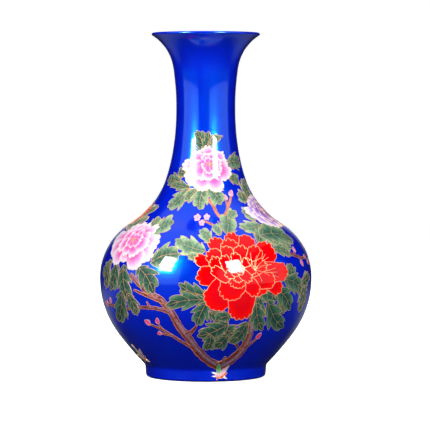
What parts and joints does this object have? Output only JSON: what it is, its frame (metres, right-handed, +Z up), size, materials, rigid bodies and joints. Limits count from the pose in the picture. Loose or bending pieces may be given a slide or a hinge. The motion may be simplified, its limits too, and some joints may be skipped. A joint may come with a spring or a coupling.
{
  "type": "cloisonne vase",
  "caption": "Tall-necked round-bellied copper vase with a flared lip and a low foot, coated in blue enamel with wired peonies, leaves, branches and butterflies.",
  "frame": {"origin": "centre of the face that the foot stands on", "axes": "+Z up along the vase's axis, -Y towards the front of the decoration, +X to the viewer's right"},
  "size_m": [0.216, 0.2168, 0.35],
  "materials": {
    "blue_enamel": "fired enamel, glossy",
    "lining_enamel": "fired enamel, glossy",
    "red_enamel": "fired enamel, glossy",
    "pink_enamel": "fired enamel, glossy",
    "lilac_enamel": "fired enamel, glossy",
    "green_enamel": "fired enamel, glossy",
    "brown_enamel": "fired enamel, glossy",
    "pale_enamel": "fired enamel, glossy",
    "gilt_wire": "gilt, polished flush",
    "gilt_copper": "gilt copper",
    "braze": "silver braze"
  },
  "bodies": {
    "root": {"back_leaves_cells": "green_enamel", "back_leaves_wires": "gilt_wire", "back_left_peony_cells": "lilac_enamel", "back_left_peony_wires": "gilt_wire", "back_neck_peony_cells": "pink_enamel", "back_neck_peony_wires": "gilt_wire", "back_peony_cells": "red_enamel", "back_peony_wires": "gilt_wire", "base_braze": "braze", "base_enamel": "lining_enamel", "base_plate": "gilt_copper", "belly_braze": "braze", "belly_shell": "gilt_copper", "branch_cells": "brown_enamel", "branch_wires": "gilt_wire", "bud_cells": "pink_enamel", "bud_wires": "gilt_wire", "butterfly_cells": "pale_enamel", "butterfly_wires": "gilt_wire", "foot_braze": "braze", "foot_ring": "gilt_copper", "ground_enamel": "blue_enamel", "left_leaves_cells": "green_enamel", "left_leaves_wires": "gilt_wire", "left_peony_cells": "pink_enamel", "left_peony_wires": "gilt_wire", "lilac_peony_cells": "lilac_enamel", "lilac_peony_wires": "gilt_wire", "lining_enamel": "lining_enamel", "lip_enamel": "blue_enamel", "lip_ring": "gilt_copper", "lower_leaves_cells": "green_enamel", "lower_leaves_wires": "gilt_wire", "neck_braze": "braze", "neck_leaves_cells": "green_enamel", "neck_leaves_wires": "gilt_wire", "neck_peony_cells": "pink_enamel", "neck_peony_wires": "gilt_wire", "neck_shell": "gilt_copper", "red_peony_cells": "red_enamel", "red_peony_wires": "gilt_wire", "right_leaves_cells": "green_enamel", "right_leaves_wires": "gilt_wire", "shoulder_peony_cells": "red_enamel", "shoulder_peony_wires": "gilt_wire", "shoulder_shell": "gilt_copper", "upper_leaves_cells": "green_enamel", "upper_leaves_wires": "gilt_wire"}
  },
  "joints": []
}
